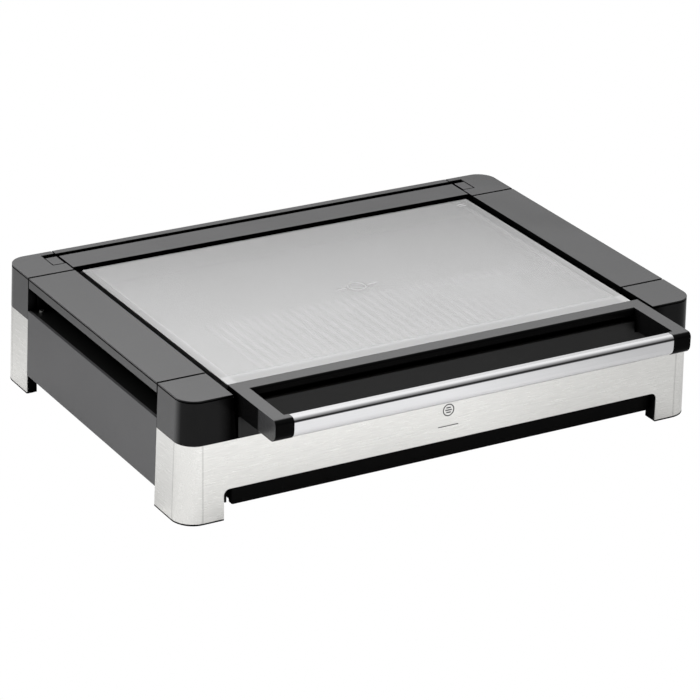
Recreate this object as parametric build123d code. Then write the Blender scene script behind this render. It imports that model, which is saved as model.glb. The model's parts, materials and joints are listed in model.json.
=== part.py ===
from build123d import *
import os

# Tabletop electric griddle, millimetres, +Z up, +X to the user's right, front at -Y.
# Every sub-part is drawn about the centre of the body's footprint, and is shifted
# by BODY_CENTRE_Y at the end, so that the origin lies under the middle of the whole object.

# ---------------------------------------------------------------- driving dimensions
BODY_WIDTH = 560.0
BODY_DEPTH = 386.0
BODY_HEIGHT = 123.5
CORNER_RADIUS = 22.0
TAPER = 1.432                    # degrees; every wall leans in by 0.025 mm for each mm of height
LEAN = 0.025
HANDLE_FRONT = -260.0            # front of the handle, from the centre of the footprint
BODY_CENTRE_Y = -(HANDLE_FRONT + BODY_DEPTH / 2) / 2

# heights of the body's layers
PAD_TOP = 1.2
FOOT_FLANGE_TOP = 2.6
STEEL_TOP = 79.5
ARCH_TOP = 31.5
SIDE_PANEL_LOW = 21.0
SIDE_PANEL_TOP = 88.8
LIP_LOW = 113.3
FLOOR_Z = (36.0, 38.5)

# where the body's outer pieces meet
CAP_Y = 137.5                    # corner caps and steel wraps end here along the sides
FOOT_X = 237.3                   # inner end of each foot and end of the arch
LEG_X = 269.0                    # inner faces of a foot's two legs
LEG_Y = 177.0
CAP_EDGE_LOW = 225.0             # inner edge of a cap at its foot and at its top
CAP_EDGE_TOP = 228.0
WELL_X = 227.8                   # half width of the top opening

# wall thicknesses
STEEL = 1.0
PANEL = 3.0
SHELL = 2.5
TRIM_SEAM = 2.0                  # gap between each trim and the caps
WALL_INSET = 4.0                 # chassis walls and floor, from the outer face

# cooking plate and heating
PLATE_X = 216.0
PLATE_Y = (-158.0, 128.0)
PLATE_Z = (97.0, 104.0)
RIM_TOP = 106.0
RIB_PITCH = 10.0
RIB_X = 160.0
RIB_Y = (-132.0, -10.0)
ELEMENT_RADIUS = 3.25
ELEMENT_Z = 93.5
ELEMENT_ROWS = {"front": (-130.0, -50.0), "rear": (20.0, 100.0)}
ELEMENT_X = (-195.0, 222.0)
POST_X = 196.0
POST_Y = (-140.0, 110.0)
CHUTE_Y = (-149.0, -135.0)
CHUTE_X = 14.0

# lid
GLASS_X = 220.0
GLASS_Y = (-170.5, 136.5)
GLASS_Z = (117.5, 121.5)
FRAME_X = 223.3
FRAME_TOP = 124.5
STRIP_Y = (-187.0, -170.5)
STRIP_LOW = 114.0
ARM_INNER = 209.0
ARM_LOW = 102.5
SOCKET_INNER = 204.0
BAR_BACK = -249.5
REAR_STRIP_Y = (142.5, 175.0)
REAR_STRIP_X = 226.5
RAIL_X = (212.0, 218.5)
RAIL_Z = (112.5, 117.5)

# hinge
HINGE_Y = 165.5
HINGE_Z = 116.5
PIN_RADIUS = 2.5
PIN_X = (231.0, 249.0)
LUG_X = (229.0, 241.3)
LUG_RADIUS = 9.5
NOTCH_X = 242.3
NOTCH_Y = (155.0, 182.7)
NOTCH_FLOOR = 104.0
RUNNING_CLEARANCE = 0.05
FIXED_CLEARANCE = 0.02

# drip tray
TRAY_X = 225.0
TRAY_Y = (-184.0, 116.0)
TRAY_Z = (10.0, 30.5)
TRAY_WALL = 1.5
TRAY_FRONT_X = (-225.8, 236.3)   # the tray's front plate reaches the right foot
RUNNER_X = 229.4
RUNNER_Z = (28.3, 30.3)
LEDGE_X = (226.3, 232.0)
RAIL_WALL = 1.8
LEDGE_Z = (26.0, 28.0)

# side grips
GRIP_BACK = 250.0
GRIP_SCREW = (267.0, 129.3)

# controls, in a bay in the right side
BAY_BACK = (256.0, 258.0)
BAY_Y = 94.0
BAY_Z = (42.0, 80.0)
BAY_WALL = 2.0
KNOB_Y = {"front": -45.0, "rear": 45.0}
KNOB_Z = 61.0
KNOB_RADIUS = 15.0
KNOB_X = (259.5, 264.5, 275.5)
SPINDLE_RADIUS = 3.0

# cord inlet
GLAND_X = 150.0
GLAND_Z = 60.0
GLAND_BORE = 4.0
GLAND_RADIUS = 6.5


# ---------------------------------------------------------------- shared shapes
def block(x, y, z):
    """A box given by its low and high limits along each axis."""
    sizes = [high - low for low, high in (x, y, z)]
    centre = [(high + low) / 2 for low, high in (x, y, z)]
    return Pos(*centre) * Box(*sizes)


def across(half):
    """Limits from -half to +half."""
    return (-half, half)


def body_block(low, high, inset=0.0):
    """The tapered body with round corners, between two heights, drawn in by an inset."""
    drawn_in = inset + low * LEAN
    outline = RectangleRounded(
        BODY_WIDTH - 2 * drawn_in, BODY_DEPTH - 2 * drawn_in, CORNER_RADIUS - drawn_in
    )
    return Pos(0, 0, low) * extrude(outline, high - low, taper=TAPER)


def shell(low, high, outer, inner):
    """The wall of the body between two insets."""
    return body_block(low, high, outer) - body_block(low, high, inner)


def flip_x(shape):
    return mirror(shape, about=Plane.YZ)


def flip_y(shape):
    return mirror(shape, about=Plane.XZ)


def rod(start, end, radius):
    """A round bar from one point to another along an axis."""
    direction = Vector(*end) - Vector(*start)
    plane = Plane(origin=start, z_dir=direction)
    return extrude(plane * Circle(radius), direction.length)


def tube(points, bend, radius):
    """A round bar along straight runs joined by arcs."""
    path = FilletPolyline(*points, radius=bend)
    section = Plane(origin=path @ 0, z_dir=path % 0) * Circle(radius)
    return sweep(section, path=path)


def screw(head_centre, length, direction):
    """A pan-head screw; the centre of the head's underside is given."""
    head_radius = 2.75
    head_height = 1.8
    shank_radius = 1.5
    axis = Vector(*direction)
    seat = Vector(*head_centre)
    head = rod(tuple(seat - axis * head_height), tuple(seat), head_radius)
    shank = rod(tuple(seat), tuple(seat + axis * length), shank_radius)
    return head + shank


def cap_prism(offset, low=STEEL_TOP, high=BODY_HEIGHT):
    """The space outside a cap's leaning inner edge, on the right, moved outward by an offset."""
    lean = (CAP_EDGE_TOP - CAP_EDGE_LOW) / (BODY_HEIGHT - STEEL_TOP)
    foot = CAP_EDGE_LOW + offset + (low - STEEL_TOP) * lean
    top = CAP_EDGE_LOW + offset + (high - STEEL_TOP) * lean
    far = BODY_WIDTH / 2 + 10
    outline = Plane.XZ * Polygon(
        (foot, low), (top, high), (far, high), (far, low), align=None
    )
    return extrude(outline, BODY_DEPTH, both=True)


def finish_top(solid):
    """Rounds the edges of a top-frame piece's upper face, and cuts the fine groove just below it."""
    edge_radius = 0.6
    groove_z = (121.0, 122.3)
    groove_depth = 1.5
    solid = fillet(solid.faces().sort_by(Axis.Z)[-1].edges(), edge_radius)
    return solid - shell(groove_z[0], groove_z[1], -1.0, groove_depth)


# ---------------------------------------------------------------- skirt, base and feet
def steel_panel():
    """Front steel skirt: wraps both corners and is arched between the feet."""
    skirt = shell(FOOT_FLANGE_TOP, STEEL_TOP, 0, STEEL)
    skirt &= block(across(300), (-250, -CAP_Y), (0, 100))
    arch = block(across(FOOT_X), (-250, -CAP_Y - 20), (-10, ARCH_TOP))
    arch = fillet(arch.edges().filter_by(Axis.Y).group_by(Axis.Z)[-1], 6)
    return skirt - arch


def rear_panel():
    """Rear steel skirt, with the hole of the cord gland."""
    hole = rod((GLAND_X, 150, GLAND_Z), (GLAND_X, 220, GLAND_Z), GLAND_RADIUS + FIXED_CLEARANCE)
    return flip_y(steel_panel()) - hole


def side_panel(window):
    """Side skirt between the steel wraps, with or without the window of the control bay."""
    seam = 0.3
    panel = shell(SIDE_PANEL_LOW, SIDE_PANEL_TOP, 0, PANEL)
    panel &= block((200, 300), across(CAP_Y - seam), (0, 100))
    if window:
        opening = block((200, 300), across(BAY_Y), BAY_Z)
        panel -= fillet(opening.edges().filter_by(Axis.X), 4)
    return panel


def base_plate():
    """Floor of the body, which carries everything inside it."""
    plate = body_block(FLOOR_Z[0], FLOOR_Z[1], WALL_INSET)
    plate -= block(across(CHUTE_X + 0.5), (CHUTE_Y[0] - 0.5, CHUTE_Y[1] + 0.5), (30, 45))
    for x, y in foot_screw_places():
        plate -= rod((x, y, 30), (x, y, 45), 1.7)
    return plate


def chassis_wall():
    """Front wall that stands on the floor behind the steel skirt."""
    wall = shell(FLOOR_Z[1], STEEL_TOP, WALL_INSET, WALL_INSET + 2)
    return wall & block(across(240), (-250, 0), (0, 100))


def rear_chassis_wall():
    """Rear wall, with the hole of the cord gland."""
    hole = rod((GLAND_X, 150, GLAND_Z), (GLAND_X, 220, GLAND_Z), GLAND_RADIUS + FIXED_CLEARANCE)
    return flip_y(chassis_wall()) - hole


def foot_screw_places():
    """Two screws hold each foot under the floor, one in each leg of its L."""
    places = []
    for side_x in (-1, 1):
        for side_y in (-1, 1):
            places.append((side_x * 272, side_y * 150))
            places.append((side_x * 248, side_y * 183))
    return places


def foot():
    """Rear right foot: an L-shaped leg behind the steel, with a thin flange under its edge."""
    corner = block((FOOT_X, 300), (CAP_Y, 250), (0, 100))
    inner = block((0, LEG_X), (0, LEG_Y), (0, 100))
    flange = body_block(PAD_TOP, FOOT_FLANGE_TOP, 0)
    leg = body_block(FOOT_FLANGE_TOP, FLOOR_Z[0], STEEL)
    solid = (flange + leg) & (corner - inner)
    for x, y in foot_screw_places():
        solid -= rod((x, y, 24), (x, y, 40), 1.5 + FIXED_CLEARANCE)
    return solid


def foot_pads():
    """Four L-shaped rubber pads, one under each foot."""
    margin = 2.0
    pad = body_block(0, PAD_TOP, margin)
    pad &= block((FOOT_X + margin, 300), (CAP_Y + margin, 250), (0, 10))
    pad -= block((0, LEG_X + margin), (0, LEG_Y + margin), (0, 10))
    return [pad, flip_x(pad), flip_y(pad), Rot(0, 0, 180) * pad]


def foot_screws():
    floor_top = FLOOR_Z[1]
    return [screw((x, y, floor_top), 12, (0, 0, -1)) for x, y in foot_screw_places()]


# ---------------------------------------------------------------- top frame
def front_cap():
    """Front right corner cap: a hollow moulding open from below."""
    solid = body_block(STEEL_TOP, BODY_HEIGHT) & cap_prism(0)
    solid = finish_top(solid & block((200, 300), (-250, -CAP_Y), (0, 200)))
    hollow = body_block(STEEL_TOP - 1, BODY_HEIGHT - SHELL, SHELL)
    hollow &= cap_prism(SHELL, STEEL_TOP - 2)
    hollow &= block((200, 300), (-250, -CAP_Y - SHELL), (0, 200))
    return solid - hollow


def rear_cap():
    """Rear right corner cap, with the notch and the pin bore of the lid's hinge."""
    housing = block((CAP_EDGE_LOW, 251), (150, 188), (100, BODY_HEIGHT - 1))
    housing &= cap_prism(0)
    cap = flip_y(front_cap()) + housing
    cap -= block((200, NOTCH_X), NOTCH_Y, (NOTCH_FLOOR, 200))
    cap -= rod((230, HINGE_Y, HINGE_Z), (PIN_X[1], HINGE_Y, HINGE_Z), PIN_RADIUS + FIXED_CLEARANCE)
    return cap


def trim():
    """Right top trim: the top plate, the lip over the grip slot and the wall of the well."""
    ledge = (98.0, 100.5)
    span = across(CAP_Y - TRIM_SEAM)
    top = body_block(LIP_LOW, BODY_HEIGHT) & block((WELL_X, 300), span, (0, 200))
    hollow = body_block(LIP_LOW - 1, BODY_HEIGHT - SHELL, PANEL)
    hollow &= block((WELL_X + SHELL, 300), across(200), (0, 200))
    wall = block((WELL_X, WELL_X + SHELL), span, (ledge[0], LIP_LOW + 1))
    shelf = block((222, WELL_X), span, ledge)
    return finish_top(top) - hollow + wall + shelf


def grip_channel():
    """Black liner of the right grip slot, with a web and a screw seat near each end."""
    top = (LIP_LOW, LIP_LOW + 2)
    bottom = (SIDE_PANEL_TOP - 2, SIDE_PANEL_TOP)
    span = across(CAP_Y - 0.3)
    back = block((GRIP_BACK, GRIP_BACK + 2), span, (bottom[0], top[1]))
    upper = block((GRIP_BACK, 300), span, top) & body_block(top[0], top[1], PANEL)
    lower = block((GRIP_BACK, 300), span, bottom) & body_block(bottom[0], bottom[1], PANEL)
    channel = back + upper + lower
    for side in (-1, 1):
        web_y = side * 133.5
        channel += block((GRIP_BACK, 269), (web_y - 0.8, web_y + 0.8), (bottom[1], top[0]))
        y = side * GRIP_SCREW[1]
        channel -= rod((GRIP_SCREW[0], y, 80), (GRIP_SCREW[0], y, 95), 1.5 + FIXED_CLEARANCE)
    return channel


def grip_screws():
    """Four screws that stand in the grip slots and hold the liners down."""
    screws = []
    for side_x in (-1, 1):
        for side_y in (-1, 1):
            place = (side_x * GRIP_SCREW[0], side_y * GRIP_SCREW[1], SIDE_PANEL_TOP)
            screws.append(screw(place, 8, (0, 0, -1)))
    return screws


def front_fascia():
    """Plate in the plane of the front, under the lid's strip, notched for the lid's arms."""
    fascia_x = 222.7
    fascia_top = 112.0
    ledge_x = 200.0
    plate = shell(STEEL_TOP, fascia_top, 0, SHELL)
    plate &= block(across(fascia_x), (-250, -150), (0, 200))
    ledge = block(across(ledge_x), (-189, -166), (fascia_top - SHELL, fascia_top))
    ledge -= body_block(STEEL_TOP, 130, -20) - body_block(STEEL_TOP, 130, SHELL)
    fascia = plate + ledge
    for side in (-1, 1):
        limits = sorted((side * (ARM_INNER - 1.3), side * 240))
        fascia -= block(limits, (-250, -150), (ARM_LOW - 2, 200))
    return fascia


def rear_rim():
    """Plate in the plane of the back, with the rim behind the lid and the wall of its slot."""
    slot_y = 181.5
    gap = 1.0
    plate = shell(STEEL_TOP, BODY_HEIGHT, 0, SHELL)
    ledge = body_block(BODY_HEIGHT - SHELL, BODY_HEIGHT)
    slot_wall = block(across(300), (slot_y, slot_y + 2), (100, BODY_HEIGHT - 1))
    rim = (plate + ledge + slot_wall) & block(across(300), (slot_y, 250), (0, 200))
    rim &= body_block(STEEL_TOP, BODY_HEIGHT)
    outside = cap_prism(-gap, STEEL_TOP - 1, BODY_HEIGHT + 1)
    return finish_top(rim - outside - flip_x(outside))


def well_frame():
    """Flat ring round the cooking plate that closes the body under the lid."""
    ring_z = (100.5, 102.5)
    ring = block(across(226), (-178, 179.5), ring_z)
    hole = block(across(PLATE_X + 1), (PLATE_Y[0] - 1, PLATE_Y[1] + 1), (90, 110))
    return ring - fillet(hole.edges().filter_by(Axis.Z), 9)


# ---------------------------------------------------------------- cooking and heating
def grill_plate():
    """Cast cooking plate: flat at the rear, ribbed at the front, with a raised rim and a drain slot."""
    rim_width = 5.0
    rib_width = 4.0
    rib_height = 1.6
    drain_x = 11.0
    depth = PLATE_Y[1] - PLATE_Y[0]
    centre_y = (PLATE_Y[1] + PLATE_Y[0]) / 2
    outline = RectangleRounded(2 * PLATE_X, depth, 8)
    inside = RectangleRounded(2 * (PLATE_X - rim_width), depth - 2 * rim_width, 5)
    plate = Pos(0, centre_y, PLATE_Z[0]) * extrude(outline, RIM_TOP - PLATE_Z[0])
    plate -= Pos(0, centre_y, PLATE_Z[1]) * extrude(inside, 10)
    count = int(RIB_X // RIB_PITCH)
    for index in range(-count, count + 1):
        x = index * RIB_PITCH
        limits = (x - rib_width / 2, x + rib_width / 2)
        plate += block(limits, RIB_Y, (PLATE_Z[1], PLATE_Z[1] + rib_height))
    drain = SlotOverall(2 * drain_x, 8)
    return plate - Pos(0, sum(CHUTE_Y) / 2, PLATE_Z[0] - 1) * extrude(drain, 12)


def heating_element(zone):
    """Tubular element bent to a hairpin under one half of the plate."""
    near, far = ELEMENT_ROWS[zone]
    left, right = ELEMENT_X
    points = [(right, near), (left, near), (left, far), (right, far)]
    return tube([(x, y, ELEMENT_Z) for x, y in points], 18, ELEMENT_RADIUS)


def element_clips():
    """Clips that hold the elements up against the plate."""
    clips = []
    for rows in ELEMENT_ROWS.values():
        for y in rows:
            for x in (-150, 150):
                clip = block((x - 6, x + 6), (y - 8, y + 8), (88.5, PLATE_Z[0]))
                clips.append(clip - rod((x - 10, y, ELEMENT_Z), (x + 10, y, ELEMENT_Z), ELEMENT_RADIUS + 0.1))
    return clips


def heat_reflector():
    """Shallow sheet tray below the elements."""
    sheet_y = (-152.0, 122.0)
    sheet_x = 206.0
    floor_z = 84.0
    edge_top = 90.0
    sheet = block(across(sheet_x), sheet_y, (floor_z, edge_top))
    sheet -= block(across(sheet_x - 1), (sheet_y[0] + 1, sheet_y[1] - 1), (floor_z + 1, 100))
    sheet -= block(across(CHUTE_X + 0.5), (CHUTE_Y[0] - 0.5, CHUTE_Y[1] + 0.5), (80, 100))
    for x in (-POST_X, POST_X):
        for y in POST_Y:
            sheet -= rod((x, y, 80), (x, y, 100), 6.5)
    return sheet


def plate_supports():
    """Four posts that carry the plate, with a collar under the reflector."""
    posts = []
    for x in (-POST_X, POST_X):
        for y in POST_Y:
            post = rod((x, y, FLOOR_Z[1]), (x, y, PLATE_Z[0]), 6)
            posts.append(post + rod((x, y, 78), (x, y, 84), 9))
    return posts


def drain_chute():
    """Square pipe that leads the fat from the plate's slot down to the drip tray."""
    wall = 1.5
    chute = block(across(CHUTE_X), CHUTE_Y, (33, PLATE_Z[0]))
    return chute - block(across(CHUTE_X - wall), (CHUTE_Y[0] + wall, CHUTE_Y[1] - wall), (0, 120))


# ---------------------------------------------------------------- drip tray
def tray_rail(front_y):
    """Right rail under the floor: a skirt, a ledge for the drip tray's edge, and a rear stop."""
    back_y = 120.0
    skirt_low = 14.0
    ledge = block(LEDGE_X, (front_y, back_y), LEDGE_Z)
    skirt = block((LEDGE_X[1] - RAIL_WALL, LEDGE_X[1]), (front_y, back_y), (skirt_low, FLOOR_Z[0]))
    stop = block(LEDGE_X, (back_y - 2, back_y), (LEDGE_Z[0], FLOOR_Z[0]))
    return ledge + skirt + stop


def drip_tray():
    """Shallow drawer with a wide front plate and an edge that runs on each rail."""
    front_wall = 4.0
    front = block(TRAY_FRONT_X, (TRAY_Y[0], TRAY_Y[0] + front_wall), TRAY_Z)
    front = fillet(front.edges().filter_by(Axis.Y).group_by(Axis.Z)[0], 3.5)
    low_edge = front.edges().filter_by(Axis.X).group_by(Axis.Z)[0].sort_by(Axis.Y)[0]
    front = chamfer(low_edge, 1)
    tray = block(across(TRAY_X), (TRAY_Y[0] + front_wall, TRAY_Y[1]), TRAY_Z)
    tray = fillet(tray.edges().filter_by(Axis.Y).group_by(Axis.Z)[0], 7)
    inner_y = (TRAY_Y[0] + front_wall, TRAY_Y[1] - TRAY_WALL)
    cavity = block(across(TRAY_X - TRAY_WALL), inner_y, (TRAY_Z[0] + TRAY_WALL, 60))
    cavity = fillet(cavity.edges().filter_by(Axis.Y).group_by(Axis.Z)[0], 5.5)
    runner = block(across(RUNNER_X), (-168, TRAY_Y[1] - 1), RUNNER_Z)
    runner -= block(across(TRAY_X - TRAY_WALL), (-300, 300), (0, 60))
    return front + (tray - cavity) + runner


# ---------------------------------------------------------------- controls and wiring
def control_bay():
    """Shallow box behind the right side panel that the knobs sit in."""
    outer_z = (BAY_Z[0] - BAY_WALL, BAY_Z[1] + BAY_WALL)
    bay = block((BAY_BACK[0], 300), across(BAY_Y + BAY_WALL), outer_z)
    bay &= body_block(30, 90, PANEL)
    bay -= block((BAY_BACK[1], 300), across(BAY_Y), BAY_Z)
    for y in KNOB_Y.values():
        bay -= rod((250, y, KNOB_Z), (270, y, KNOB_Z), SPINDLE_RADIUS + 0.5)
        for side in (-1, 1):
            bay -= rod((250, y + side * 24, KNOB_Z), (270, y + side * 24, KNOB_Z), 3)
    return bay


def indicator_lenses():
    """A round lens on each side of each knob, seated in the bay's wall."""
    lenses = []
    for y in KNOB_Y.values():
        for side in (-1, 1):
            centre_y = y + side * 24
            lens = rod((250, centre_y, KNOB_Z), (259, centre_y, KNOB_Z), 3 - FIXED_CLEARANCE)
            lens += rod((BAY_BACK[1], centre_y, KNOB_Z), (259.5, centre_y, KNOB_Z), 3.8)
            lenses.append(lens)
    return lenses


def thermostat(zone):
    """Thermostat body behind the bay, with the bearing of its spindle."""
    y = KNOB_Y[zone]
    case = block((232, BAY_BACK[0]), (y - 13, y + 13), (KNOB_Z - 14, KNOB_Z + 10))
    bearing = rod((225, y, KNOB_Z), (270, y, KNOB_Z), SPINDLE_RADIUS + RUNNING_CLEARANCE)
    return case - bearing


def spindle(zone):
    """Shaft of a thermostat, turned by its knob."""
    y = KNOB_Y[zone]
    return rod((235, y, KNOB_Z), (272, y, KNOB_Z), SPINDLE_RADIUS)


def knob(zone):
    """Round knob with a bar to turn it by and a pointer at the top."""
    y = KNOB_Y[zone]
    base_x, disc_x, front_x = KNOB_X
    disc = rod((base_x, y, KNOB_Z), (disc_x, y, KNOB_Z), KNOB_RADIUS)
    disc = fillet(disc.edges().group_by(Axis.X)[-1], 1)
    bar = block((disc_x, front_x), (y - 4, y + 4), (KNOB_Z - 14, KNOB_Z + 14))
    bar = fillet(bar.faces().sort_by(Axis.X)[-1].edges().filter_by(Axis.Z), 1)
    bar &= rod((disc_x, y, KNOB_Z), (front_x, y, KNOB_Z), KNOB_RADIUS - 0.8)
    pointer = block((disc_x, front_x - 2), (y - 0.8, y + 0.8), (KNOB_Z + 10, KNOB_Z + KNOB_RADIUS - 0.3))
    bore = rod((0, y, KNOB_Z), (272.2, y, KNOB_Z), SPINDLE_RADIUS + FIXED_CLEARANCE)
    return disc + bar + pointer - bore


def cord_gland():
    """Bushing in the rear panel that the supply cord comes out of."""
    end = BODY_DEPTH / 2
    flange = rod((GLAND_X, 188, GLAND_Z), (GLAND_X, end, GLAND_Z), 11)
    flange -= body_block(30, 100)
    barrel = rod((GLAND_X, 178, GLAND_Z), (GLAND_X, end, GLAND_Z), GLAND_RADIUS)
    bore = rod((GLAND_X, 170, GLAND_Z), (GLAND_X, 210, GLAND_Z), GLAND_BORE)
    return flange + barrel - bore


def gland_nut():
    """Hexagon nut that clamps the gland inside the rear wall."""
    plane = Plane(origin=(GLAND_X, 181, GLAND_Z), z_dir=(0, 1, 0))
    nut = extrude(plane * RegularPolygon(11, 6), 4)
    nut &= body_block(30, 100, WALL_INSET + 2)
    return nut - rod((GLAND_X, 170, GLAND_Z), (GLAND_X, 200, GLAND_Z), GLAND_RADIUS + FIXED_CLEARANCE)


def terminal_block():
    """Screw terminals where the cord's cores end."""
    screw_pitch = 12.0
    block_x = (128.0, 172.0)
    body = block(block_x, (148, 166), (FLOOR_Z[1], 54))
    for index in range(3):
        x = 138 + index * screw_pitch
        body -= rod((x, 157, 48), (x, 157, 60), 2.5)
    return body


def thermal_fuse():
    """One-shot fuse clamped under the middle of the plate."""
    return block((-12, 12), (-20, -10), (90, PLATE_Z[0]))


def wiring_loom():
    """Insulated wires between the terminals, the thermostats and the elements."""
    wire = 1.5
    bend = 4.0
    routes = [
        [(172, 158, 46), (215, 158, 46), (215, 45, 46), (215, 45, 58), (232, 45, 58)],
        [(172, 162, 42), (219, 162, 42), (219, -45, 42), (219, -45, 58), (232, -45, 58)],
        [(240, 50, 71), (240, 50, 84), (240, 100, 84), (240, 100, 93.5), (222, 100, 93.5)],
        [(240, -50, 71), (240, -50, 93.5), (222, -50, 93.5)],
        [(222, 20, 93.5), (229, 20, 93.5), (229, 20, 50), (184, 20, 50), (184, 153, 50), (172, 153, 50)],
        [(222, -130, 93.5), (229, -130, 93.5), (229, -130, 44), (208, -130, 44), (208, 151, 44), (172, 151, 44)],
    ]
    return [tube(points, 3 if points[0][0] == 222 else bend, wire) for points in routes]


# ---------------------------------------------------------------- lid
def handle_profile(inset=0.0):
    """Section of the handle: flat back and top, round front, in the YZ plane."""
    back = BAR_BACK - inset
    front = HANDLE_FRONT + inset
    top = FRAME_TOP - inset
    low = ARM_LOW + inset
    top_radius = 5.0
    low_radius = 9.0
    outline = Polyline((back, low), (back, top), (front + top_radius, top))
    outline += RadiusArc((front + top_radius, top), (front, top - top_radius), -top_radius)
    outline += Line((front, top - top_radius), (front, low + low_radius))
    outline += RadiusArc((front, low + low_radius), (front + low_radius, low), -low_radius)
    outline += Line((front + low_radius, low), (back, low))
    return Plane.YZ * make_face(outline)


def handle_tenon(clearance):
    """Tongue of the bar, or with a clearance the pocket that it fits."""
    reach = 214.0
    y = (-257.0 - clearance, -252.5 + clearance)
    z = (107.5 - clearance, 119.5 + clearance)
    return block(across(reach + clearance), y, z)


def handle_bar():
    """Polished bar between the arms, with a tongue at each end."""
    bar = extrude(handle_profile(0.3), SOCKET_INNER, both=True)
    return bar + handle_tenon(0)


def lid_front_frame():
    """Strip under the glass's front edge, with two arms that end in the bar's sockets."""
    strip = block(across(FRAME_X), STRIP_Y, (STRIP_LOW, FRAME_TOP))
    front_edges = strip.edges().filter_by(Axis.X).group_by(Axis.Y)[0].sort_by(Axis.Z)
    strip = fillet(front_edges[0], 5)
    front_edges = strip.edges().filter_by(Axis.X).group_by(Axis.Y)[0].sort_by(Axis.Z)
    strip = fillet(front_edges[-1], 2.5)
    frame = strip + block(across(FRAME_X - 1.3), (STRIP_Y[1], -150), (STRIP_LOW, GLASS_Z[0]))
    for side in (-1, 1):
        arm_x = sorted((side * ARM_INNER, side * FRAME_X))
        frame += block(arm_x, (-251, -184), (ARM_LOW, FRAME_TOP))
        socket = extrude(handle_profile(), FRAME_X - SOCKET_INNER)
        start = SOCKET_INNER if side > 0 else -FRAME_X
        frame += Pos(start, 0, 0) * socket
        tab_x = sorted((side * 205, side * 222))
        frame += block(tab_x, (-186, -150), (109, GLASS_Z[0]))
        frame += block(tab_x, (-150, -130), (109, RAIL_Z[0]))
        frame -= rod((side * 215.25, -138, 100), (side * 215.25, -138, 130), 1.5 + FIXED_CLEARANCE)
        frame -= rod((side * 215.25, -138, 100), (side * 215.25, -138, 110.9), 3)
    frame -= handle_tenon(0.05)
    top_edges = frame.faces().sort_by(Axis.Z)[-1].edges().filter_by(Axis.Y)
    return fillet(top_edges, 0.5)


def glass_pane():
    """Frosted pane with softened corners and top edges."""
    pane = block(across(GLASS_X), GLASS_Y, GLASS_Z)
    pane = chamfer(pane.edges().filter_by(Axis.Z), 0.8)
    return chamfer(pane.faces().sort_by(Axis.Z)[-1].edges(), 0.6)


def lid_side_rail():
    """Right rail under the glass, from the front frame to the rear strip."""
    rail = block(RAIL_X, (-149.5, 172), RAIL_Z)
    rail -= rod((215.25, -138, 100), (215.25, -138, 116), 1.5 + FIXED_CLEARANCE)
    return rail - rod((215.25, 150, 100), (215.25, 150, 130), 1.5 + FIXED_CLEARANCE)


def lid_rear_strip():
    """Rear strip of the lid, between the hinges."""
    strip = block(across(REAR_STRIP_X), REAR_STRIP_Y, (GLASS_Z[0], BODY_HEIGHT))
    strip = fillet(strip.faces().sort_by(Axis.Z)[-1].edges(), 0.6)
    for side in (-1, 1):
        strip -= rod((side * 215.25, 150, 110), (side * 215.25, 150, 120.5), 1.5 + FIXED_CLEARANCE)
    return strip


def lid_screws():
    """Four screws that clamp the side rails to the front frame and the rear strip."""
    screws = []
    for side in (-1, 1):
        screws.append(screw((side * 215.25, -138, 110.9), 5, (0, 0, 1)))
        screws.append(screw((side * 215.25, 150, RAIL_Z[0]), 7.8, (0, 0, 1)))
    return screws


def lid_bumpers():
    """Soft stops under the front of the lid."""
    return [rod((side * 213, -169, 102.8), (side * 213, -169, 109), 4) for side in (-1, 1)]


def hinge_lug():
    """Right hinge lug: a tab under the rear strip and a knuckle in the cap's notch."""
    tab = block((RAIL_X[1], LUG_X[0]), (158, 173), (111, GLASS_Z[0]))
    knuckle = rod((LUG_X[0], HINGE_Y, HINGE_Z), (LUG_X[1], HINGE_Y, HINGE_Z), LUG_RADIUS)
    knuckle += block(LUG_X, (HINGE_Y - LUG_RADIUS, HINGE_Y + LUG_RADIUS), (HINGE_Z, BODY_HEIGHT))
    knuckle &= block(LUG_X, (0, 250), (0, BODY_HEIGHT))
    top = knuckle.faces().sort_by(Axis.Z)[-1].edges()
    knuckle = fillet(top, 0.6)
    bore = rod((LUG_X[0], HINGE_Y, HINGE_Z), (LUG_X[1], HINGE_Y, HINGE_Z), PIN_RADIUS + RUNNING_CLEARANCE)
    return tab + knuckle - bore


def hinge_pin():
    """Right hinge pin, held in the cap."""
    return rod((PIN_X[0], HINGE_Y, HINGE_Z), (PIN_X[1], HINGE_Y, HINGE_Z), PIN_RADIUS)


# ---------------------------------------------------------------- write the sub-parts
def write(name, shape):
    """Shift a sub-part into the object's frame and write it as parts/NAME.step."""
    solids = shape if isinstance(shape, list) else [shape]
    placed = [Pos(0, BODY_CENTRE_Y, 0) * solid for solid in solids]
    export_step(placed[0] if len(placed) == 1 else Compound(children=placed), f"parts/{name}.step")


def write_pair(name, shape):
    """Write a right-hand sub-part and its mirror image."""
    write(f"{name}_right", shape)
    write(f"{name}_left", flip_x(shape))


os.makedirs("parts", exist_ok=True)

write("front_panel", steel_panel())
write("rear_panel", rear_panel())
write("side_panel_right", side_panel(True))
write("side_panel_left", flip_x(side_panel(False)))
write("base_plate", base_plate())
write("chassis_wall_front", chassis_wall())
write("chassis_wall_rear", rear_chassis_wall())
write_pair("foot_rear", foot())
write_pair("foot_front", flip_y(foot()))
write("foot_pads", foot_pads())
write("foot_screws", foot_screws())
write_pair("cap_front", front_cap())
write_pair("cap_rear", rear_cap())
write_pair("trim", trim())
write_pair("grip_channel", grip_channel())
write("grip_screws", grip_screws())
write("front_fascia", front_fascia())
write("rear_rim", rear_rim())
write("well_frame", well_frame())
write("grill_plate", grill_plate())
for zone in ELEMENT_ROWS:
    write(f"heating_element_{zone}", heating_element(zone))
    write(f"thermostat_{zone}", thermostat(zone))
    write(f"spindle_{zone}", spindle(zone))
    write(f"knob_{zone}", knob(zone))
write("element_clips", element_clips())
write("heat_reflector", heat_reflector())
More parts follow.
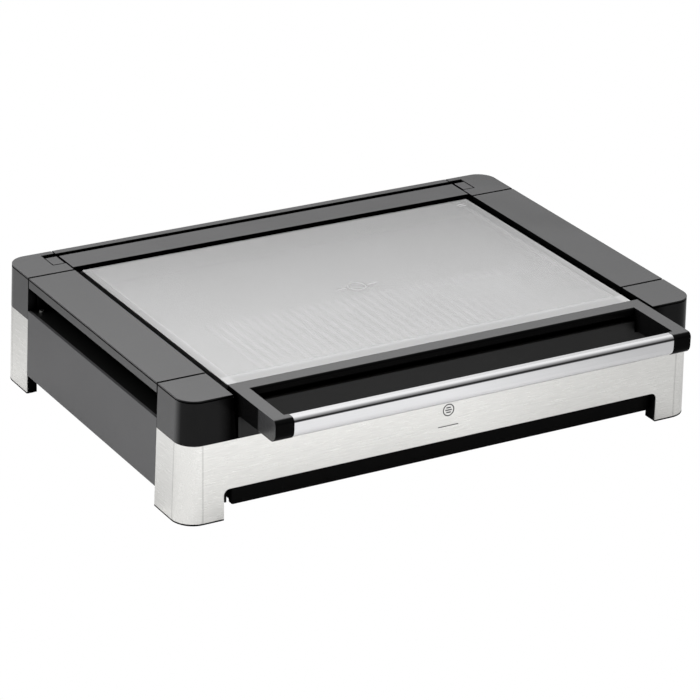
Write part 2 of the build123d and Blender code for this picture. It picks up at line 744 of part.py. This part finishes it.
write("plate_supports", plate_supports())
write("drain_chute", drain_chute())
write("tray_rail_right", tray_rail(-179))
write("tray_rail_left", flip_x(tray_rail(-184)))
write("drip_tray", drip_tray())
write("control_bay", control_bay())
write("indicator_lenses", indicator_lenses())
write("cord_gland", cord_gland())
write("gland_nut", gland_nut())
write("terminal_block", terminal_block())
write("thermal_fuse", thermal_fuse())
write("wiring_loom", wiring_loom())
write("handle_bar", handle_bar())
write("lid_front_frame", lid_front_frame())
write("glass_pane", glass_pane())
write_pair("lid_rail", lid_side_rail())
write("lid_rear_strip", lid_rear_strip())
write("lid_screws", lid_screws())
write("lid_bumpers", lid_bumpers())
write_pair("hinge_lug", hinge_lug())
write_pair("hinge_pin", hinge_pin())
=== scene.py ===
import json
import math

import bmesh
import bpy
from mathutils import Matrix, Vector


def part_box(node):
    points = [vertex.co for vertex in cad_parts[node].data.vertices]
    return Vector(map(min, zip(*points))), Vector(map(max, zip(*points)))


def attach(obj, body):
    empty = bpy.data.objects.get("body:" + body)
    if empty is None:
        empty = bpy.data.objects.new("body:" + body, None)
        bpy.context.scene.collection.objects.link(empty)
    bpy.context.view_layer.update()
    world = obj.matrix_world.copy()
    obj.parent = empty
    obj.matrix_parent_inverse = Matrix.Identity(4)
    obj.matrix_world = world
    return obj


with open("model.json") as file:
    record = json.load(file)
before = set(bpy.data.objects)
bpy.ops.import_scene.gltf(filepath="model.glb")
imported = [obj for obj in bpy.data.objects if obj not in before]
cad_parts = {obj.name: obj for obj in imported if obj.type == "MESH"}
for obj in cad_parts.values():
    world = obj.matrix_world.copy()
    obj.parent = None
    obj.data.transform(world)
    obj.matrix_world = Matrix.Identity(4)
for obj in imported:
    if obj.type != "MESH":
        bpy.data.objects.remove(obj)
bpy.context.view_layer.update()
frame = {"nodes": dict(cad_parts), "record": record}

MM = 0.001
LEAN = 0.025                     # every wall of the body leans in by this much for each unit of height
HALF_DEPTH = 193 * MM            # from the middle of the body's footprint to its front, at the floor
# y of the middle of the body's footprint; the lid's handle stands out in front of it
BODY_Y = (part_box("front_panel")[0][1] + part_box("rear_panel")[1][1]) / 2


# ------------------------------------------------------------------ camera
def make_camera():
    """Camera at the photograph's viewing angle, with a long lens and a slight roll."""
    azimuth = math.radians(-30.735)
    elevation = math.radians(23.748)
    roll = math.radians(1.7735)
    focal_length = 171.15
    place = Vector((-1.5226, -2.5689 + BODY_Y, 1.3614))
    back = Vector((
        math.sin(azimuth) * math.cos(elevation),
        -math.cos(azimuth) * math.cos(elevation),
        math.sin(elevation),
    ))
    right = Vector((math.cos(azimuth), math.sin(azimuth), 0))
    up = back.cross(right)
    right, up = (
        right * math.cos(roll) + up * math.sin(roll),
        up * math.cos(roll) - right * math.sin(roll),
    )
    data = bpy.data.cameras.new("camera")
    data.sensor_width = 36
    data.lens = focal_length
    camera = bpy.data.objects.new("camera", data)
    rotation = Matrix((right, up, back)).transposed()
    camera.matrix_world = Matrix.Translation(place) @ rotation.to_4x4()
    bpy.context.collection.objects.link(camera)
    bpy.context.scene.camera = camera


# ------------------------------------------------------------------ node helpers
class Nodes:
    """Builds one node material, with the shader and its output in place."""

    def __init__(self, name):
        self.material = bpy.data.materials.new(name)
        self.material.use_nodes = True
        self.tree = self.material.node_tree
        self.shader = self.tree.nodes["Principled BSDF"]

    def add(self, kind, **settings):
        node = self.tree.nodes.new(kind)
        for key, value in settings.items():
            setattr(node, key, value)
        return node

    def link(self, source, target):
        self.tree.links.new(source, target)

    def feed(self, source, socket):
        self.link(source, self.shader.inputs[socket])

    def set(self, **values):
        names = {
            "metallic": "Metallic", "roughness": "Roughness", "specular": "Specular IOR Level",
            "ior": "IOR", "anisotropic": "Anisotropic",
        }
        for key, value in values.items():
            self.shader.inputs[names[key]].default_value = value

    def place(self, scale):
        """Object coordinates, in metres, stretched by a scale along each axis."""
        coordinates = self.add("ShaderNodeTexCoord")
        mapping = self.add("ShaderNodeMapping")
        mapping.inputs["Scale"].default_value = scale
        self.link(coordinates.outputs["Object"], mapping.inputs["Vector"])
        return mapping.outputs["Vector"]

    def noise(self, scale, detail=3.0):
        texture = self.add("ShaderNodeTexNoise")
        texture.inputs["Scale"].default_value = 1.0
        texture.inputs["Detail"].default_value = detail
        self.link(self.place(scale), texture.inputs["Vector"])
        return texture.outputs["Fac"]

    def spread(self, factor, low, high, source=(0.3, 0.7)):
        """Maps a factor to a range of values."""
        node = self.add("ShaderNodeMapRange")
        node.inputs["From Min"].default_value = source[0]
        node.inputs["From Max"].default_value = source[1]
        node.inputs["To Min"].default_value = low
        node.inputs["To Max"].default_value = high
        self.link(factor, node.inputs["Value"])
        return node.outputs["Result"]

    def multiply(self, first, second):
        node = self.add("ShaderNodeMath", operation="MULTIPLY")
        self.link(first, node.inputs[0])
        self.link(second, node.inputs[1])
        return node.outputs[0]

    def larger(self, first, second):
        node = self.add("ShaderNodeMath", operation="MAXIMUM")
        self.link(first, node.inputs[0])
        self.link(second, node.inputs[1])
        return node.outputs[0]

    def blend_colors(self, factor, first, second):
        node = self.add("ShaderNodeMix", data_type="RGBA")
        node.inputs["A"].default_value = (*first, 1)
        node.inputs["B"].default_value = (*second, 1)
        self.link(factor, node.inputs["Factor"])
        return node.outputs["Result"]

    def scale_color(self, color, factor):
        node = self.add("ShaderNodeVectorMath", operation="SCALE")
        self.link(color, node.inputs[0])
        self.link(factor, node.inputs["Scale"])
        return node.outputs["Vector"]

    def painted_crevice_shade(self, reach):
        """Painted shade from how open the surroundings of a point are: near 0 deep in a seam, 1 on a free
        face.
        """
        node = self.add("ShaderNodeAmbientOcclusion", samples=6)
        node.inputs["Distance"].default_value = reach
        return self.spread(node.outputs["AO"], 0.0, 1.0, (0.5, 0.92))

    def size_of(self, value):
        node = self.add("ShaderNodeMath", operation="ABSOLUTE")
        self.link(value, node.inputs[0])
        return node.outputs[0]

    def side_share(self):
        """1 where a face looks along X, 0 where it looks along Y."""
        return self.spread(self.size_of(self.facing("X")), 0.0, 1.0, (0.65, 0.75))

    def position(self, axis):
        """A coordinate of the point, in metres."""
        split = self.add("ShaderNodeSeparateXYZ")
        self.link(self.place((1, 1, 1)), split.inputs["Vector"])
        return split.outputs[axis]

    def all_but(self, first, second, least):
        """1 everywhere, but least where both factors are 1."""
        return self.spread(self.multiply(first, second), 1.0, least, (0.0, 1.0))

    def facing(self, axis):
        """The part of a face's direction along one axis, from -1 to 1."""
        coordinates = self.add("ShaderNodeTexCoord")
        split = self.add("ShaderNodeSeparateXYZ")
        self.link(coordinates.outputs["Normal"], split.inputs["Vector"])
        return split.outputs[axis]

    def painted_bend_reflection(self):
        """1, with a painted dark reflection line where a flat wall starts to turn into a round corner."""
        turned = self.size_of(self.multiply(self.facing("X"), self.facing("Y")))
        starting = self.spread(turned, 1.0, 0.8, (0.03, 0.06))
        turning = self.spread(turned, 0.0, 1.0, (0.07, 0.13))
        return self.larger(starting, turning)

    def blend_values(self, factor, first, second):
        node = self.add("ShaderNodeMix", data_type="FLOAT")
        self.link(factor, node.inputs["Factor"])
        self.link(first, node.inputs["A"])
        self.link(second, node.inputs["B"])
        return node.outputs["Result"]

    def relief(self, height, strength, distance, edge=0.0):
        """Bump from a height, over edges rounded by a small radius."""
        node = self.add("ShaderNodeBump")
        node.inputs["Strength"].default_value = strength
        node.inputs["Distance"].default_value = distance
        self.link(height, node.inputs["Height"])
        if edge:
            bevel = self.add("ShaderNodeBevel", samples=4)
            bevel.inputs["Radius"].default_value = edge
            self.link(bevel.outputs["Normal"], node.inputs["Normal"])
        self.feed(node.outputs["Normal"], "Normal")


def shades(color, amount):
    """A darker and a lighter version of a colour."""
    darker = tuple(channel * (1 - amount) for channel in color)
    lighter = tuple(min(channel * (1 + amount), 1) for channel in color)
    return darker, lighter


def plastic(name, color, roughness, specular, grain=0.15, front=1.0, reach=12.0, shade=None):
    """Moulded plastic: a fine spark-eroded grain, uneven gloss, painted shade darkening colour and gloss in
    seams and crevices, painted shade on faces that look to the front down to the factor front, and an extra
    painted shade factor from shade.
    """
    nodes = Nodes(name)
    cloud = nodes.noise((18, 18, 18))
    # painted shade: colour and gloss darken in seams and crevices
    painted_shade = nodes.painted_crevice_shade(reach * MM)
    # painted shade: faces that look to the front darken down to the factor front
    if front < 1:
        painted_shade = nodes.multiply(painted_shade, nodes.spread(nodes.facing("Y"), front, 1.0, (-0.45, -0.1)))
    # painted shade from a given position factor, such as on the well walls and the arm sides
    if shade:
        painted_shade = nodes.multiply(painted_shade, shade(nodes))
    base = nodes.blend_colors(nodes.spread(cloud, 0, 1), *shades(color, 0.1))
    nodes.feed(nodes.scale_color(base, painted_shade), "Base Color")
    nodes.feed(nodes.spread(painted_shade, 0.0, specular, (0, 1)), "Specular IOR Level")
    nodes.feed(nodes.spread(cloud, roughness - 0.03, roughness + 0.03), "Roughness")
    nodes.relief(nodes.noise((2200, 2200, 2200), 2), grain, 0.05 * MM, 0.4 * MM)
    return nodes.material


def painted_well_shade(nodes):
    """Painted shade: a factor that darkens the walls round the top opening, and the fronts beside the lid's
    arms.
    """
    shaded = 0.1
    across = nodes.size_of(nodes.position("X"))
    inside = nodes.spread(across, 1.0, 0.0, (229 * MM, 230 * MM))
    walls = nodes.all_but(nodes.side_share(), inside, shaded)
    fronts = nodes.spread(nodes.facing("Y"), 1.0, 0.0, (-0.9, -0.7))
    beside = nodes.spread(across, 1.0, 0.0, (230 * MM, 243 * MM))
    return nodes.multiply(walls, nodes.all_but(fronts, beside, shaded))


def painted_arm_shade(nodes):
    """Painted shade: a factor that darkens the sides of the lid's arms, all but the outer end of each."""
    shaded = 0.1
    end = BODY_Y - 228 * MM
    outer = nodes.spread(nodes.size_of(nodes.position("X")), 0.0, 1.0, (220 * MM, 221 * MM))
    ends = nodes.multiply(outer, nodes.spread(nodes.position("Y"), 1.0, 0.0, (end - MM, end + MM)))
    return nodes.all_but(nodes.side_share(), nodes.spread(ends, 1.0, 0.0, (0, 1)), shaded)


def brushed_steel(name, color):
    """Sheet brushed lengthwise: short hairlines in colour, gloss and height, along each wall, and a painted
    dark reflection line where each wall turns into a corner.
    """
    roughness = 0.3
    streak = 0.06
    nodes = Nodes(name)
    nodes.set(metallic=1.0, anisotropic=0.5)
    along_front = nodes.noise((70, 1500, 1700), 4)
    along_side = nodes.noise((1500, 70, 1700), 4)
    hairlines = nodes.blend_values(nodes.side_share(), along_front, along_side)
    cloud = nodes.noise((5, 5, 5), 2)
    base = nodes.blend_colors(nodes.spread(hairlines, 0, 1), *shades(color, streak))
    # random tone times a painted dark reflection line where each wall turns into a corner
    tone_with_painted_light = nodes.multiply(nodes.spread(cloud, 0.97, 1.03), nodes.painted_bend_reflection())
    nodes.feed(nodes.scale_color(base, tone_with_painted_light), "Base Color")
    nodes.feed(nodes.spread(hairlines, roughness + 0.04, roughness - 0.04), "Roughness")
    nodes.relief(hairlines, 0.3, 0.02 * MM, 0.4 * MM)
    return nodes.material


def polished_steel(name, color, roughness):
    """Polished bar with faint lengthwise drawing marks, painted shade on its upward faces, and a painted
    dark reflection line under its upper edge.
    """
    nodes = Nodes(name)
    nodes.set(metallic=1.0)
    marks = nodes.noise((4, 700, 700), 3)
    base = nodes.blend_colors(nodes.spread(marks, 0, 1), *shades(color, 0.02))
    # painted shade on the upward faces, and a painted dark reflection line where the top turns to the front
    upper = nodes.spread(nodes.facing("Z"), 0.1, 0.65, (0.42, 0.92))
    lower = nodes.spread(nodes.facing("Z"), 0.95, 0.0, (0.08, 0.16))
    nodes.feed(nodes.scale_color(base, nodes.larger(upper, lower)), "Base Color")
    nodes.feed(nodes.spread(marks, roughness - 0.02, roughness + 0.03), "Roughness")
    nodes.relief(marks, 0.06, 0.02 * MM, 0.3 * MM)
    return nodes.material


def frosted_glass(name):
    """Clear pane with a pale satin-etched upper face, a painted highlight along its side edges, painted
    shade towards the back, dark edges, and a denser border over its rails.
    """
    nodes = Nodes(name)
    glass_ior = 1.5
    nodes.set(ior=glass_ior)
    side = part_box("glass_pane")[1][0]
    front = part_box("glass_pane")[0][1]
    etch = nodes.noise((900, 900, 900), 2)
    nodes.feed(nodes.spread(etch, 0.1, 0.14), "Roughness")
    cloud = nodes.noise((7, 7, 7), 2)
    satin = nodes.blend_colors(nodes.spread(cloud, 0, 1), *shades((0.42, 0.42, 0.42), 0.03))
    across = nodes.size_of(nodes.position("X"))
    # painted highlight: the top is lighter close to the side edges
    painted_rim_highlight = nodes.spread(across, 1.0, 1.5, (side - 1.4 * MM, side - 0.8 * MM))
    # painted shade: the top darkens towards the back
    painted_back_shade = nodes.spread(nodes.position("Y"), 1.0, 0.7, (-20 * MM, 170 * MM))
    upright = nodes.spread(nodes.size_of(nodes.facing("Z")), 1.0, 0.0, (0.2, 0.4))
    flat = nodes.spread(upright, 1.0, 0.03, (0, 1))
    nodes.feed(nodes.scale_color(satin, nodes.multiply(nodes.multiply(painted_rim_highlight, painted_back_shade), flat)), "Base Color")
    nodes.feed(nodes.spread(flat, 0.0, 0.8, (0, 1)), "Specular IOR Level")
    nodes.relief(etch, 0.05, 0.03 * MM)
    clear = nodes.add("ShaderNodeBsdfGlass")
    clear.inputs["IOR"].default_value = glass_ior
    clear.inputs["Roughness"].default_value = 0.1
    mix = nodes.add("ShaderNodeMixShader")
    border = nodes.multiply(
        nodes.spread(across, 1.0, 1.27, (side - 11 * MM, side - 7 * MM)),
        nodes.spread(nodes.position("Y"), 1.4, 1.0, (front + 19.5 * MM, front + 23.5 * MM)),
    )
    top = nodes.multiply(nodes.spread(nodes.facing("Z"), 0.0, 0.45, (0.4, 0.9)), border)
    nodes.link(nodes.larger(top, upright), mix.inputs["Fac"])
    nodes.link(clear.outputs["BSDF"], mix.inputs[1])
    nodes.link(nodes.shader.outputs["BSDF"], mix.inputs[2])
    nodes.link(mix.outputs["Shader"], nodes.tree.nodes["Material Output"].inputs["Surface"])
    return nodes.material


def coated_plate(name):
    """Dark non-stick coating with fine pale flecks, an orange peel, and a painted highlight that makes the
    rib tops paler.
    """
    nodes = Nodes(name)
    nodes.set(specular=0.45)
    flecks = nodes.spread(nodes.noise((700, 700, 700), 2), 0, 1, (0.62, 0.72))
    coating = nodes.blend_colors(flecks, (0.02, 0.02, 0.021), (0.07, 0.07, 0.072))
    height = nodes.position("Z")
    rib_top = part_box("grill_plate")[1][2] - 0.4 * MM
    above = nodes.spread(height, 0.0, 1.0, (rib_top - 0.7 * MM, rib_top - 0.3 * MM))
    below = nodes.spread(height, 1.0, 0.0, (rib_top + 0.05 * MM, rib_top + 0.15 * MM))
    # painted highlight: the rib tops are painted much paler than the valleys
    painted_rib_highlight = nodes.blend_colors(nodes.multiply(above, below), (1, 1, 1), (13, 13, 13))
    tint = nodes.add("ShaderNodeVectorMath", operation="MULTIPLY")
    nodes.link(coating, tint.inputs[0])
    nodes.link(painted_rib_highlight, tint.inputs[1])
    nodes.feed(tint.outputs["Vector"], "Base Color")
    nodes.feed(nodes.spread(nodes.noise((60, 60, 60), 3), 0.34, 0.44), "Roughness")
    nodes.relief(nodes.noise((350, 350, 350), 2), 0.3, 0.1 * MM, 0.5 * MM)
    return nodes.material


def plain_metal(name, color, roughness):
    """Plain or plated steel with slight tarnish."""
    streak = 0.08
    nodes = Nodes(name)
    nodes.set(metallic=1.0)
    cloud = nodes.noise((90, 90, 90), 4)
    nodes.feed(nodes.blend_colors(nodes.spread(cloud, 0, 1), *shades(color, streak)), "Base Color")
    nodes.feed(nodes.spread(cloud, roughness - 0.05, roughness + 0.05), "Roughness")
    nodes.relief(nodes.noise((900, 900, 900), 2), 0.1, 0.03 * MM, 0.3 * MM)
    return nodes.material


# front and shade set painted shade on faces that look to the front, on the well walls and on the arm sides;
# the plastics also get painted shade in their crevices
MATERIALS = {
    "skirt_steel": brushed_steel("skirt_steel", (0.75, 0.745, 0.725)),
    "side_plastic": plastic("side_plastic", (0.055, 0.055, 0.057), 0.34, 0.3),
    "frame_plastic": plastic("frame_plastic", (0.034, 0.034, 0.035), 0.2, 0.33, front=0.2, shade=painted_well_shade),
    "lid_plastic": plastic("lid_plastic", (0.034, 0.034, 0.035), 0.2, 0.35, front=0.05, shade=painted_arm_shade),
    "black_plastic": plastic("black_plastic", (0.003, 0.003, 0.003), 0.5, 0.1, front=0.4),
    "foot_plastic": plastic("foot_plastic", (0.003, 0.003, 0.003), 0.5, 0.1, front=0.4),
    "rubber": plastic("rubber", (0.008, 0.008, 0.008), 0.75, 0.15, 0.5),
    "pan_metal": plastic("pan_metal", (0.006, 0.006, 0.006), 0.4, 0.12, front=0.35),
    "reflector_metal": plain_metal("reflector_metal", (0.6, 0.6, 0.6), 0.4),
    "cast_plate": coated_plate("cast_plate"),
    "steel_parts": plain_metal("steel_parts", (0.45, 0.45, 0.44), 0.35),
    "screw_steel": plain_metal("screw_steel", (0.6, 0.6, 0.58), 0.3),
    "polished_bar": polished_steel("polished_bar", (0.66, 0.66, 0.67), 0.1),
    "frosted_glass": frosted_glass("frosted_glass"),
    "lens": plastic("lens", (0.35, 0.01, 0.008), 0.15, 0.5, 0.05, reach=1.0),
    "thermostat_case": plastic("thermostat_case", (0.42, 0.39, 0.31), 0.45, 0.4),
    "terminal_ceramic": plastic("terminal_ceramic", (0.62, 0.58, 0.5), 0.6, 0.4),
    "wire_insulation": plastic("wire_insulation", (0.32, 0.29, 0.22), 0.5, 0.4),
}
OWN = {
    "knob_front": plastic("knob_plastic", (0.03, 0.03, 0.031), 0.3, 0.5, 0.15, reach=1.5),
    "control_bay": plastic("bay_plastic", (0.02, 0.02, 0.021), 0.45, 0.4, reach=3.0),
    "front_fascia": plastic("fascia_plastic", (0.012, 0.012, 0.012), 0.35, 0.22, front=0.8),
}
OWN["knob_rear"] = OWN["knob_front"]
MARK_DARK = plastic("mark_dark", (0.05, 0.05, 0.052), 0.35, 0.3, 0.1)
MARK_PALE = plastic("mark_pale", (0.75, 0.75, 0.74), 0.5, 0.4, 0.1, reach=0.5)
MARK_ETCH = plastic("mark_etch", (0.36, 0.36, 0.36), 0.4, 0.4, 0.1, reach=0.5)


def dress_nodes():
    """Gives every CAD node the material of its slot."""
    for row in frame["record"]["subparts"]:
        data = frame["nodes"][row["node"]].data
        data.materials.clear()
        data.materials.append(OWN.get(row["node"], MATERIALS[row["material_slot"]]))


# ------------------------------------------------------------------ small flat details
def rounded_bar(centre, width, height, turn=0.0):
    """Outline of a bar with rounded corners, in the plane of its surface."""
    radius = min(width, height) * 0.3
    points = []
    for index, (side_u, side_v) in enumerate(((1, 1), (-1, 1), (-1, -1), (1, -1))):
        for step in range(4):
            angle = math.pi / 2 * (index + step / 3)
            u = side_u * (width / 2 - radius) + radius * math.cos(angle)
            v = side_v * (height / 2 - radius) + radius * math.sin(angle)
            points.append((
                centre[0] + u * math.cos(turn) - v * math.sin(turn),
                centre[1] + u * math.sin(turn) + v * math.cos(turn),
            ))
    return points


def arc_band(centre, inner, outer, start=0.0, sweep=2 * math.pi, steps=48):
    """Quads of a flat band along an arc, in the plane of its surface."""
    quads = []
    for index in range(steps):
        angles = [start + sweep * (index + offset) / steps for offset in (0, 1)]
        corners = [(inner, angles[0]), (outer, angles[0]), (outer, angles[1]), (inner, angles[1])]
        quads.append([(centre[0] + r * math.cos(a), centre[1] + r * math.sin(a)) for r, a in corners])
    return quads


def flat_detail(name, body, material, outlines, place, thickness=0.12 * MM):
    """Thin raised shapes on a surface; place(u, v, height) gives the point above the surface."""
    mesh = bmesh.new()
    for outline in outlines:
        lower = [mesh.verts.new(place(u, v, -0.02 * MM)) for u, v in outline]
        upper = [mesh.verts.new(place(u, v, thickness)) for u, v in outline]
        mesh.faces.new(upper)
        for index in range(len(outline)):
            after = (index + 1) % len(outline)
            mesh.faces.new((lower[index], lower[after], upper[after], upper[index]))
    bmesh.ops.remove_doubles(mesh, verts=mesh.verts, dist=1e-7)
    bmesh.ops.recalc_face_normals(mesh, faces=mesh.faces)
    data = bpy.data.meshes.new(name)
    mesh.to_mesh(data)
    mesh.free()
    data.materials.append(material)
    piece = bpy.data.objects.new(name, data)
    bpy.context.collection.objects.link(piece)
    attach(piece, body)


def on_front(u, v, height):
    """A point on the front panel: u to the right, v up."""
    return (u, BODY_Y - HALF_DEPTH + v * LEAN - height, v)


def on_glass(u, v, height):
    return (u, v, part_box("glass_pane")[1][2] + height)


def on_bay(u, v, height):
    """A point on the wall behind the knobs: u towards the back, v up."""
    wall = 2 * MM
    return (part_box("control_bay")[0][0] + wall + height, u, v)


def make_badges():
    """A ring with three bars over a thin line on the front, and etched marks on the glass."""
    centre = (0.0, 62 * MM)
    bar_pitch = 2.4 * MM
    shapes = arc_band(centre, 5.2 * MM, 6.2 * MM)
    for row, width in ((1, 5 * MM), (0, 7 * MM), (-1, 5 * MM)):
        shapes.append(rounded_bar((centre[0], centre[1] + row * bar_pitch), width, 1.1 * MM))
    shapes.append(rounded_bar((centre[0], 46 * MM), 22 * MM, 0.8 * MM))
    flat_detail("front_badge", "griddle_body", MARK_DARK, shapes, on_front)

    glass_low, glass_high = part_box("glass_pane")
    middle = (0.0, (glass_low[1] + glass_high[1]) / 2)
    marks = arc_band(middle, 8 * MM, 9.5 * MM)
    for side in (-1, 1):
        marks.append(rounded_bar((middle[0] + side * 17 * MM, middle[1]), 10 * MM, 1.6 * MM))
    corner = (glass_high[0] - 14 * MM, glass_high[1] - 12 * MM)
    marks.append(rounded_bar(corner, 9 * MM, 1.2 * MM))
    marks.append(rounded_bar((corner[0], corner[1] - 4 * MM), 9 * MM, 1.2 * MM))
    flat_detail("glass_marks", "lid", MARK_ETCH, marks, on_glass, 0.03 * MM)


def make_dials():
    """Ticks round each knob that grow with the heat, and a pale line on each pointer."""
    tick_count = 10
    tick_step = 30
    ring_radius = 16.2 * MM
    for zone in ("front", "rear"):
        low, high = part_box(f"knob_{zone}")
        centre = ((low[1] + high[1]) / 2, (low[2] + high[2]) / 2)
        ticks = []
        for index in range(tick_count):
            angle = math.radians(90 - tick_step * index)
            length = (1.2 + 0.12 * index) * MM
            radius = ring_radius + length / 2
            place = (centre[0] + radius * math.cos(angle), centre[1] + radius * math.sin(angle))
            ticks.append(rounded_bar(place, length, (0.5 + 0.06 * index) * MM, angle))
        flat_detail(f"dial_{zone}", "griddle_body", MARK_PALE, ticks, on_bay)
        pointer = [rounded_bar((centre[0], centre[1] + 11.2 * MM), 0.9 * MM, 5 * MM)]

        def on_knob(u, v, height, face=high[0]):
            return (face + height - 0.13 * MM, u, v)

        flat_detail(f"pointer_{zone}", f"{zone}_control", MARK_PALE, pointer, on_knob)


def make_screw_crosses():
    """A black cross on each screw head that can be seen, painted shade standing in for its cross recess."""
    head_radius = 2.75 * MM
    low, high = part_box("grip_screws")
    for side_x, x in (("left", low[0] + head_radius), ("right", high[0] - head_radius)):
        for side_y, y in (("front", low[1] + head_radius), ("rear", high[1] - head_radius)):
            # painted shade: a flat black cross stands in for the shade in each cross recess
            recess_shade_bars = [rounded_bar((x, y), 3 * MM, 0.7 * MM, 0.5 + turn) for turn in (0, math.pi / 2)]
            flat_detail(f"cross_{side_x}_{side_y}", "griddle_body",
                        MATERIALS["black_plastic"], recess_shade_bars,
                        lambda u, v, height: (u, v, high[2] + height), 0.03 * MM)


# ------------------------------------------------------------------ studio
def make_world():
    """Soft surroundings: bright above, a dim band at the horizon, and a bright left side."""
    world = bpy.data.worlds.new("studio")
    bpy.context.scene.world = world
    world.use_nodes = True
    tree = world.node_tree

    def ramp(value, source, target):
        node = tree.nodes.new("ShaderNodeMapRange")
        node.interpolation_type = "SMOOTHSTEP"
        for socket, number in zip(("From Min", "From Max", "To Min", "To Max"), (*source, *target)):
            node.inputs[socket].default_value = number
        tree.links.new(value, node.inputs["Value"])
        return node.outputs["Result"]

    def mix(factor, first, second):
        node = tree.nodes.new("ShaderNodeMix")
        tree.links.new(factor, node.inputs["Factor"])
        tree.links.new(first, node.inputs["A"])
        tree.links.new(second, node.inputs["B"])
        return node.outputs["Result"]

    coordinates = tree.nodes.new("ShaderNodeTexCoord")
    split = tree.nodes.new("ShaderNodeSeparateXYZ")
    tree.links.new(coordinates.outputs["Generated"], split.inputs["Vector"])
    height = ramp(split.outputs["Z"], (0.33, 0.44), (0.0, 1.0))
    horizon = ramp(split.outputs["X"], (-0.9, -0.1), (1.25, 0.3))
    sky = ramp(split.outputs["Y"], (-0.7, 0.4), (1.3, 2.2))
    right_fall = ramp(split.outputs["X"], (0.35, 0.65), (1.0, 0.78))
    shaded_sky = tree.nodes.new("ShaderNodeMath")
    shaded_sky.operation = "MULTIPLY"
    tree.links.new(sky, shaded_sky.inputs[0])
    tree.links.new(right_fall, shaded_sky.inputs[1])
    background = tree.nodes["Background"]
    tree.links.new(mix(height, horizon, shaded_sky.outputs[0]), background.inputs["Strength"])
    background.inputs["Color"].default_value = (1, 1, 1, 1)


def make_floor():
    """Pale floor, evenly white where the camera sees it, with painted shade that makes it darker to the far
    left, to the right and towards the back where other surfaces see it, large enough to fill the view.
    """
    nodes = Nodes("floor")
    nodes.set(roughness=0.9, specular=0.1)
    # painted shade for what reflections see: the floor darkens to the far left, to the right and towards
    # the back
    painted_left_shade = nodes.spread(nodes.position("X"), 0.87, 1.0, (-0.36, -0.22))
    painted_right_shade = nodes.spread(nodes.position("X"), 0.82, 0.5, (0.09, 0.33))
    painted_far_shade = nodes.spread(nodes.position("Y"), 1.0, 0.6, (0.05, 0.4))
    tone_with_painted_light = nodes.multiply(nodes.multiply(painted_left_shade, painted_right_shade), painted_far_shade)
    cloud = nodes.spread(nodes.noise((3, 3, 3), 2), 0, 1)
    paper = nodes.blend_colors(cloud, (0.97, 0.97, 0.97), (1, 1, 1))
    nodes.feed(nodes.scale_color(paper, tone_with_painted_light), "Base Color")
    glow = nodes.add("ShaderNodeEmission")
    glow.inputs["Strength"].default_value = 1.0
    seen = nodes.add("ShaderNodeLightPath")
    mix = nodes.add("ShaderNodeMixShader")
    nodes.link(seen.outputs["Is Camera Ray"], mix.inputs["Fac"])
    nodes.link(nodes.shader.outputs["BSDF"], mix.inputs[1])
    nodes.link(glow.outputs["Emission"], mix.inputs[2])
    nodes.link(mix.outputs["Shader"], nodes.tree.nodes["Material Output"].inputs["Surface"])
    mesh = bpy.data.meshes.new("floor")
    reach = 12.0
    corners = [(-reach, -reach, 0), (reach, -reach, 0), (reach, reach, 0), (-reach, reach, 0)]
    mesh.from_pydata(corners, [], [(0, 1, 2, 3)])
    mesh.materials.append(nodes.material)
    floor = bpy.data.objects.new("floor", mesh)
    bpy.context.collection.objects.link(floor)


make_camera()
dress_nodes()
make_badges()
make_dials()
make_screw_crosses()
make_world()
make_floor()
bpy.context.scene.view_settings.view_transform = "Standard"
